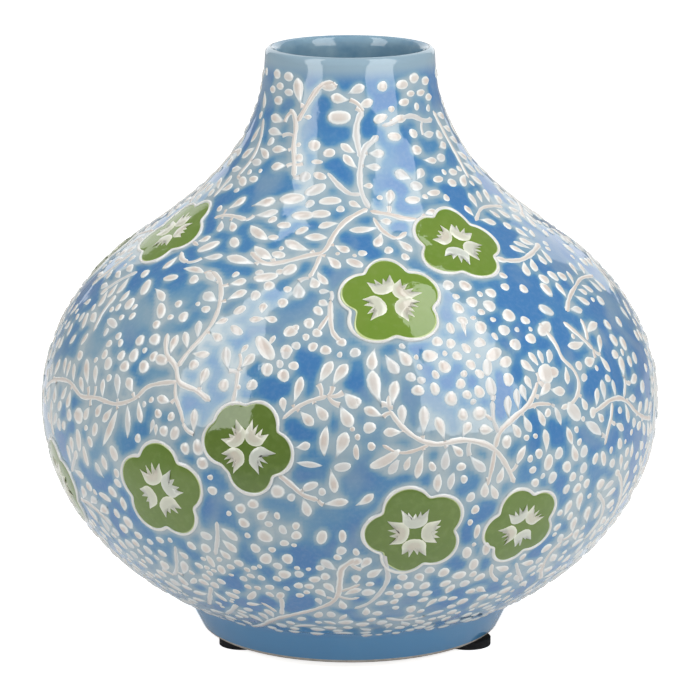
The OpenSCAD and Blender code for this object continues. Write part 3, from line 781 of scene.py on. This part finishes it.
def leaf_stem(line, every):
    """Leaves on both sides of a stem, given as rows of azimuth and length, wherever they find room."""
    for i in range(1, len(line) - 1, every):
        r = float(WALL.at(line[i, 1])[0])
        step = line[i + 1] - line[i]
        ahead = math.degrees(math.atan2(step[1], step[0] * DEG * r))
        for side in (1, -1):
            for longest in (6.4, 5.0, 4.0):
                d = ahead + side * rng.uniform(38, 62)
                long, wide = longest * rng.uniform(0.85, 1.0), rng.uniform(2.1, 2.8)
                ca = line[i, 0] + (0.7 + long / 2) * math.cos(d * DEG) / (r * DEG)
                cs = line[i, 1] + (0.7 + long / 2) * math.sin(d * DEG)
                z = z_of(cs)
                a, t = leaf_line(ca, z, long, d)
                if free_line(a[4:], t[4:], 0.35 + wide / 2):
                    leaf(leaves, ca, z, long, wide, d, "drop", bend=rng.uniform(-0.08, 0.08))
                    break


SPRIG_STEP = 2


def sprig(az, s, heading, length):
    """A wandering stem with leaves on both sides. Stops where the ground is taken."""
    turn = rng.uniform(-5, 5)
    pts = [(az, s)]
    for _ in range(int(length / SPRIG_STEP)):
        r = float(WALL.at(s)[0])
        az += SPRIG_STEP * math.cos(heading * DEG) / (r * DEG)
        s += SPRIG_STEP * math.sin(heading * DEG)
        if not (S_LOW + 1 < s < S_HIGH - 1 and clear(slip_map, az, s, 1.5) and clear(flower_map, az, s, 1.5)):
            break
        pts.append((az, s))
        heading += turn
        turn += rng.uniform(-4, 4)
    if len(pts) < 4:
        return
    stem(stems, [(a, z_of(y)) for a, y in pts], rng.uniform(1.3, 1.55))
    leaf_stem(np.array(pts), 2)
    leaf(leaves, pts[-1][0], z_of(pts[-1][1]), 3.4, 2.2, heading, "blob")


for line in list(stem_lines):
    leaf_stem(line, 4)

# sprigs that leave each flower all round, and then sprigs in open ground
for az, z, size, turn, *_ in FLOWERS:
    s, r = s_of(z), float(WALL.at(s_of(z))[0])
    for k in range(7):
        d = 36 + 51.4 * k + rng.uniform(-12, 12)
        out = float(flower_edge(np.array([d * DEG] * 5), size, turn, FENCE_W)[2]) + 1.6
        a0, s0 = az + out * math.cos(d * DEG) / (r * DEG), s + out * math.sin(d * DEG)
        if not near_front(a0):
            sprig(a0, s0, d + rng.uniform(-25, 25), rng.uniform(14, 30))
for _ in range(160):
    az, s = rng.uniform(FRONT, 360 - FRONT), rng.uniform(S_LOW + 3, S_HIGH - 3)
    if clear(slip_map, az, s, 3) and clear(flower_map, az, s, 3):
        sprig(az, s, rng.uniform(0, 360), rng.uniform(12, 26))

for _ in range(150):
    az, s, radius = rng.uniform(60, 300), rng.uniform(S_FOOT + 4, S_HIGH - 4), rng.uniform(2.2, 4.2)
    if clear(slip_map, az, s, 1.6):
        stamp(pool_map, az, s, radius)


def crowded(az, s):
    """Whether dots gather here: they come in drifts with open blue between them."""
    a = az * DEG
    slow = math.sin(4 * a + 0.06 * s) + math.sin(7 * a - 0.11 * s + 2)
    return slow + math.sin(11 * a + 0.19 * s + 4) > -0.35


# smallest and largest diameter of a big, a middling and a small dot
DOT_SIZES = {"big": (2.5, 3.4), "mid": (1.9, 2.5), "small": (1.3, 1.8)}
# Lone leaves, then dots of falling size, where there is room: gap in mm, tries, kind.
FILL = ((0.75, 6000, "leaf"), (0.7, 8000, "big"), (0.6, 7000, "mid"), (0.6, 3000, "small"))
BELLY_R, LOW_DOWN = 86, s_of(42)
for gap, tries, what in FILL:
    for _ in range(tries):
        az = rng.uniform(-180, 180)
        s = S_LOW + (S_HIGH - S_LOW) * rng.random()
        if rng.random() > float(WALL.at(s)[0]) / BELLY_R or not clear(slip_map, az, s, 0.6):
            continue
        # the slip lies closer together low on the bowl
        low_down = s < LOW_DOWN
        room = gap * (0.6 if low_down else 1.0)
        if not low_down and not crowded(az, s) and rng.random() < 0.93:
            continue
        if what in DOT_SIZES:
            d = {size: rng.uniform(*ends) for size, ends in DOT_SIZES.items()}[what]
            free = clear(slip_map, az, s, d / 2 + room) and clear(flower_map, az, s, d / 2 + 1.3)
            if free and clear(pool_map, az, s, d / 3):
                du, dv = d * rng.uniform(0.9, 1.1), d * rng.uniform(0.95, 1.25)
                dome(dots, az, s, du, dv, rng.uniform(0, 180), 0.2 + 0.1 * d, rng.random())
            continue
        if near_front(az) and not low_down and rng.random() < 0.6:
            continue
        long, wide = rng.uniform(3.6, 5.8), rng.uniform(1.9, 2.7)
        d = rng.choice((0, 180)) + rng.gauss(90, 45)
        z = z_of(s)
        a, t = leaf_line(az, z, long, d)
        if free_line(a, t, room + wide / 2) and all(clear(pool_map, x, y, 0.6) for x, y in zip(a, t)):
            kind = rng.choice(("drop", "drop", "blob", "spindle"))
            leaf(leaves, az, z, long, wide, d, kind, bend=rng.uniform(-0.08, 0.08))

# ---------------------------------------------------------------- glaze coats

near_wide = blurred(slip_map | flower_map, 1.3)
slip_wide = blurred(slip_map & ~flower_map, 1.5)
flower_wide = blurred(flower_map, 0.6)
deep_pool = blurred(pool_map, 1.3)


def sample(grid, az, s):
    """The map's value at each place, blended between its four nearest cells."""
    row = np.clip(s / STEP, 0, ROWS - 1.001)
    col = (az / 360 * COLS) % COLS
    i, j = row.astype(int), col.astype(int)
    fi, fj = row - i, col - j
    j2 = (j + 1) % COLS
    below = grid[i, j] * (1 - fj) + grid[i, j2] * fj
    above = grid[i + 1, j] * (1 - fj) + grid[i + 1, j2] * fj
    return below * (1 - fi) + above * fi


def revolve(name, prof, step, count, height=None):
    """A coat turned from a profile, a row every step mm, with the azimuth and length of each vertex."""
    s = np.append(np.arange(0, prof.end, step), prof.end)
    az = np.arange(count) * 360 / count
    A, S = np.meshgrid(az, s)
    h = np.zeros(A.shape) if height is None else height(A, S)
    pts = prof.place(A, S, h).reshape(-1, 3)
    m = len(s)
    i, j = np.meshgrid(np.arange(m - 1), np.arange(count), indexing="ij")
    j2 = (j + 1) % count
    near, far = i * count, (i + 1) * count
    faces = np.stack([near + j, near + j2, far + j2, far + j], -1).reshape(-1, 4)
    mesh = bpy.data.meshes.new(name)
    mesh.from_pydata(pts.tolist(), [], faces.tolist())
    mesh.polygons.foreach_set("use_smooth", [True] * len(mesh.polygons))
    obj = bpy.data.objects.new(name, mesh)
    bpy.context.scene.collection.objects.link(obj)
    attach(obj, "root")
    return obj, A.reshape(-1), S.reshape(-1)


def put(obj, key, values):
    layer = obj.data.attributes.new(key, "FLOAT", "POINT")
    layer.data.foreach_set("value", np.asarray(values, np.float32))


def coat_height(A, S):
    """How far the blue glaze stands above the wall: slow waves, thick by the slip, thin under the green."""
    a = A * DEG
    slow = 0.05 * np.sin(7 * a + 0.09 * S) + 0.04 * np.sin(13 * a - 0.16 * S + 1)
    slow = slow + 0.04 * np.sin(0.23 * S + 3 * a)
    fade = np.clip((S - 2) / 8, 0, 1) * np.clip((WALL.end - S) / 6, 0, 1)
    green = sample(flower_wide, A, S)
    return ((slow + 0.28 * sample(slip_wide, A, S)) * (1 - green) - 0.06 * green) * fade


coat, CA, CS = revolve("blue_glaze_coat", WALL, 1.12, 480, coat_height)
covered = np.clip((sample(near_wide, CA, CS) - 0.09) / 0.4, 0, 1)
put(coat, "near", covered * covered * (3 - 2 * covered))
put(coat, "pool", sample(deep_pool, CA, CS))
shift = np.zeros(CA.shape)
for az, z, reach, amount in GROUND:
    across = ((CA - az + 180) % 360 - 180) * DEG * WALL.at(CS)[0]
    shift += amount * np.exp(-(across**2 + (CS - s_of(z)) ** 2) / reach**2)
put(coat, "ground", np.clip(0.5 + 0.5 * shift, 0, 1))
VASE_H = 166
put(coat, "height", np.interp(CS, WALL.s, WALL.z) / VASE_H)

# the liner runs from the top of the lip down the throat and the bowl to the middle of the floor
inner = wall_points("inner_glaze", -1)
floor_z = min(inner)
inside = [(max(inner[z]) if z <= floor_z + 0.01 else min(inner[z]), z) for z in sorted(inner, reverse=True)]
LINER = Profile(np.vstack([smooth_through(rings[-1:] + inside, 8), [(0.3, floor_z)]]), 1, 3)
liner, _, _ = revolve("liner_glaze_coat", LINER, 1.5, 160)

# ---------------------------------------------------------------- materials


class Tree:
    """Short names for building one node material."""

    def __init__(self, name):
        self.mat = bpy.data.materials.new(name)
        self.mat.use_nodes = True
        self.nt = self.mat.node_tree
        self.bsdf = self.nt.nodes["Principled BSDF"]

    def node(self, kind, **props):
        n = self.nt.nodes.new(kind)
        for k, v in props.items():
            setattr(n, k, v)
        return n

    def link(self, a, b):
        self.nt.links.new(a, b)

    def attr(self, key):
        return self.node("ShaderNodeAttribute", attribute_name=key).outputs["Fac"]

    def noise(self, scale, detail, rough, warp=0.0):
        n = self.node("ShaderNodeTexNoise")
        n.inputs["Scale"].default_value = scale
        n.inputs["Detail"].default_value = detail
        n.inputs["Roughness"].default_value = rough
        n.inputs["Distortion"].default_value = warp
        self.link(self.node("ShaderNodeTexCoord").outputs["Object"], n.inputs["Vector"])
        return n.outputs["Fac"]

    def feed(self, socket, value):
        """Set an input to a number or an sRGB colour, or link it to another node's output."""
        if isinstance(value, (int, float)):
            socket.default_value = value
        elif isinstance(value, tuple):
            socket.default_value = srgb(*value)
        else:
            self.link(value, socket)

    def math(self, op, a, b):
        n = self.node("ShaderNodeMath", operation=op)
        self.feed(n.inputs[0], a)
        self.feed(n.inputs[1], b)
        return n.outputs[0]

    def swing(self, fac, middle, amount):
        """How far fac is from middle, times amount."""
        return self.math("MULTIPLY", self.math("SUBTRACT", fac, middle), amount)

    def ramp(self, fac, stops):
        n = self.node("ShaderNodeValToRGB")
        el = n.color_ramp.elements
        while len(el) < len(stops):
            el.new(0.5)
        for e, (pos, colour) in zip(el, stops):
            e.position = pos
            e.color = srgb(*colour)
        self.link(fac, n.inputs["Fac"])
        return n.outputs["Color"]

    def span(self, fac, lo, hi, to_lo=0.0, to_hi=1.0):
        n = self.node("ShaderNodeMapRange", interpolation_type="SMOOTHSTEP")
        for i, v in enumerate((lo, hi, to_lo, to_hi)):
            n.inputs[i + 1].default_value = v
        self.link(fac, n.inputs[0])
        return n.outputs[0]

    def mix(self, fac, a, b):
        n = self.node("ShaderNodeMix", data_type="RGBA")
        for socket, value in ((n.inputs["Factor"], fac), (n.inputs[6], a), (n.inputs[7], b)):
            self.feed(socket, value)
        return n.outputs[2]

    def bump(self, height, strength):
        n = self.node("ShaderNodeBump")
        n.inputs["Strength"].default_value = strength
        n.inputs["Distance"].default_value = 0.0004
        self.link(height, n.inputs["Height"])
        self.link(n.outputs["Normal"], self.bsdf.inputs["Normal"])

    def finish(self, colour, rough, spec=0.5):
        self.link(colour, self.bsdf.inputs["Base Color"])
        self.feed(self.bsdf.inputs["Roughness"], rough)
        self.bsdf.inputs["Specular IOR Level"].default_value = spec
        return self.mat


# blues from deep pools to where the glaze breaks over slip
BLUES = [
    (0.0, (52, 102, 150)), (0.2, (64, 113, 151)), (0.4, (96, 131, 153)), (0.6, (124, 145, 157)),
    (0.9, (145, 158, 163)),
]
# slip from the foot of a relief to its ridge: on blue ground, and the stars on green
SLIPS = [(0.0, (138, 152, 160)), (0.34, (202, 205, 203)), (0.55, (196, 195, 191)), (1.0, (184, 178, 172))]
STAR_SLIPS = [(0.0, (188, 190, 168)), (0.3, (200, 201, 184)), (0.6, (184, 185, 169)), (1.0, (174, 175, 160))]


def srgb(r, g, b):
    """A linear colour from 0 to 255 sRGB values."""
    lin = lambda c: (c / 255 / 12.92) if c <= 10 else ((c / 255 + 0.055) / 1.055) ** 2.4
    return (lin(r), lin(g), lin(b), 1.0)


def blue_glaze():
    """Deep blue in open ground, paler by the slip and in thin patches, pale at the lip, plain on the foot."""
    t = Tree("blue_glaze")
    n1, n2, n3 = t.noise(55, 2, 0.5, warp=0.3), t.noise(260, 3, 0.6), t.noise(900, 2, 0.5)
    fac = t.math("ADD", t.math("MULTIPLY", t.attr("near"), 0.74), t.swing(n1, 0.44, 1.15))
    fac = t.math("ADD", fac, t.swing(n2, 0.5, 0.06))
    fac = t.math("SUBTRACT", fac, t.math("MULTIPLY", t.attr("pool"), 0.12))
    fac = t.math("ADD", fac, t.math("SUBTRACT", t.attr("ground"), 0.5))
    col = t.ramp(fac, BLUES)
    wash = t.span(t.noise(38, 2, 0.5, warp=0.6), 0.52, 0.66, 0.0, 0.5)
    col = t.mix(wash, col, (122, 142, 153))
    col = t.mix(t.span(n3, 0.4, 0.75, 0.0, 0.06), col, (160, 170, 175))
    high = t.attr("height")
    col = t.mix(t.span(high, 0.955, 0.985), col, (122, 144, 157))
    low = t.span(high, 0.06, 0.1, 1.0, 0.0)
    col = t.mix(t.math("MULTIPLY", low, 0.9), col, (80, 131, 170))
    t.bump(t.math("ADD", t.math("MULTIPLY", t.noise(130, 1, 0.4), 3.0), n2), 0.06)
    return t.finish(col, t.span(n2, 0.3, 0.7, 0.03, 0.05))


def slip(name, stops):
    """Slip under clear glaze, coloured from the foot to the ridge of a relief, some warmer, some bluer."""
    t = Tree(name)
    core, tone = t.attr("core"), t.attr("tone")
    n = t.noise(420, 3, 0.6)
    fac = t.math("ADD", core, t.swing(n, 0.5, 0.45))
    col = t.ramp(fac, stops)
    warm = t.math("MULTIPLY", t.span(fac, 0.75, 1.15), t.span(tone, 0.3, 0.9))
    col = t.mix(t.math("MULTIPLY", warm, 0.5), col, (174, 156, 144))
    blue = t.math("MULTIPLY", t.span(tone, 0.3, 0.0), 0.3)
    col = t.mix(blue, col, (160, 172, 180))
    t.bump(n, 0.08)
    return t.finish(col, 0.06)


def green_glaze():
    """Leaf green, darker or lighter by the flower's tone, and pale at its rim."""
    t = Tree("green_glaze")
    tone, core = t.attr("tone"), t.attr("core")
    n1, n2 = t.noise(90, 3, 0.6, warp=0.6), t.noise(500, 2, 0.5)
    dark = t.mix(n1, (66, 90, 26), (82, 100, 38))
    light = t.mix(n1, (88, 120, 32), (104, 124, 50))
    col = t.mix(tone, dark, light)
    col = t.mix(t.span(n2, 0.45, 0.75, 0.0, 0.2), col, (112, 132, 72))
    col = t.mix(t.span(core, 0.3, 0.0), col, (184, 194, 140))
    t.bump(t.math("ADD", t.math("MULTIPLY", t.noise(140, 1, 0.4), 4.0), n2), 0.1)
    return t.finish(col, 0.04)


def liner_glaze():
    t = Tree("liner_glaze")
    n = t.noise(120, 3, 0.6)
    col = t.ramp(n, [(0.3, (90, 124, 147)), (0.7, (120, 147, 162))])
    t.bump(n, 0.05)
    return t.finish(col, 0.05)


def bare_clay():
    t = Tree("bare_clay")
    n = t.noise(600, 4, 0.7)
    col = t.ramp(n, [(0.3, (150, 142, 132)), (0.7, (186, 178, 168))])
    t.bump(n, 0.4)
    return t.finish(col, 0.75, 0.3)


def black_pad():
    t = Tree("black_pad")
    n = t.noise(1800, 3, 0.7)
    col = t.ramp(n, [(0.3, (14, 14, 16)), (0.75, (34, 34, 37))])
    t.bump(n, 0.5)
    return t.finish(col, 0.8, 0.25)


BLUE, GREEN, LINING, CLAY, PAD = blue_glaze(), green_glaze(), liner_glaze(), bare_clay(), black_pad()
SLIP, STAR_SLIP = slip("slip_under_glaze", SLIPS), slip("star_slip", STAR_SLIPS)
coat.data.materials.append(BLUE)
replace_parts(coat, "outer_glaze")
liner.data.materials.append(LINING)
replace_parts(liner, "inner_glaze")
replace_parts(fences.build(SLIP, "slip"), "slip_outlines")
for relief in (stems, leaves, dots):
    relief.build(SLIP, "slip")
stars.build(STAR_SLIP, "slip")
for index, field in enumerate(fields):
    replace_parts(field.build(GREEN, "green_glaze"), f"flower_{index + 1}")
for name, material in (("vase_body", CLAY), ("pad_right", PAD), ("pad_left", PAD), ("pad_back", PAD)):
    mesh = nodes[name].data
    mesh.materials.clear()
    mesh.materials.append(material)

# ---------------------------------------------------------------- floor, light and camera

scene = bpy.context.scene
scene.view_settings.view_transform = "Standard"


def panel(name, corners, material):
    mesh = bpy.data.meshes.new(name)
    mesh.from_pydata(corners, [], [tuple(range(len(corners)))])
    mesh.materials.append(material)
    obj = bpy.data.objects.new(name, mesh)
    scene.collection.objects.link(obj)
    return obj


def seen_or_not(tree, seen, unseen):
    """One strength where the camera looks straight at the stage and another as light on the pot."""
    path = tree.nodes.new("ShaderNodeLightPath")
    span = tree.nodes.new("ShaderNodeMapRange")
    span.inputs["To Min"].default_value = unseen
    span.inputs["To Max"].default_value = seen
    tree.links.new(path.outputs["Is Camera Ray"], span.inputs["Value"])
    return span.outputs[0]


def floor_material():
    t = Tree("floor")
    n = t.noise(30, 2, 0.5)
    t.bsdf.inputs["Emission Color"].default_value = (1, 1, 1, 1)
    t.link(seen_or_not(t.nt, 0.8, 0.1), t.bsdf.inputs["Emission Strength"])
    return t.finish(t.ramp(n, [(0.4, (250, 250, 250)), (0.6, (254, 254, 254))]), 0.9, 0.0)


HALF_FLOOR = 3
corners = [(x * HALF_FLOOR, y * HALF_FLOOR, 0) for x, y in ((-1, -1), (1, -1), (1, 1), (-1, 1))]
panel("floor", corners, floor_material())

world = bpy.data.worlds.new("studio")
world.use_nodes = True
# white behind the pot, and dimmer as a light on it
wt = world.node_tree
wt.nodes["Background"].inputs["Color"].default_value = (1, 1, 1, 1)
wt.links.new(seen_or_not(wt, 1.0, 0.4), wt.nodes["Background"].inputs["Strength"])
scene.world = world


POT_MIDDLE = Vector((0, 0, 0.09))


def softbox(name, foot, head, width, radiance):
    """A soft box over the pot: an area light from its lower to its upper edge, turned to face the pot."""
    foot, head = Vector(foot), Vector(head)
    axis = (head - foot).normalized()
    middle = (foot + head) / 2
    facing = middle - POT_MIDDLE
    facing = (facing - axis * facing.dot(axis)).normalized()
    lamp = bpy.data.lights.new(name, "AREA")
    lamp.shape = "RECTANGLE"
    lamp.size, lamp.size_y = width, (head - foot).length
    lamp.energy = radiance * math.pi * lamp.size * lamp.size_y
    obj = bpy.data.objects.new(name, lamp)
    turn = Matrix((axis.cross(facing), axis, facing)).transposed()
    obj.matrix_world = Matrix.Translation(middle) @ turn.to_4x4()
    scene.collection.objects.link(obj)
    return obj


softbox("softbox_right", (0.172, -0.228, 0.11), (0.205, 0.03, 0.8), 0.17, 4.4)
softbox("softbox_left", (-0.2, -0.214, 0.115), (-0.22, 0.03, 0.8), 0.12, 4.4)
softbox("softbox_back", (0, 0.75, 0.15), (0, 0.5, 1.0), 0.9, 1.0)

camera = bpy.data.cameras.new("camera")
camera.lens, camera.sensor_width = 183.75, 36
eye = bpy.data.objects.new("camera", camera)
eye.location = (0, -0.9749, 0.3066)
look = Vector((0, 0, 0.0803)) - eye.location
eye.rotation_euler = look.to_track_quat("-Z", "Y").to_euler()
scene.collection.objects.link(eye)
scene.camera = eye
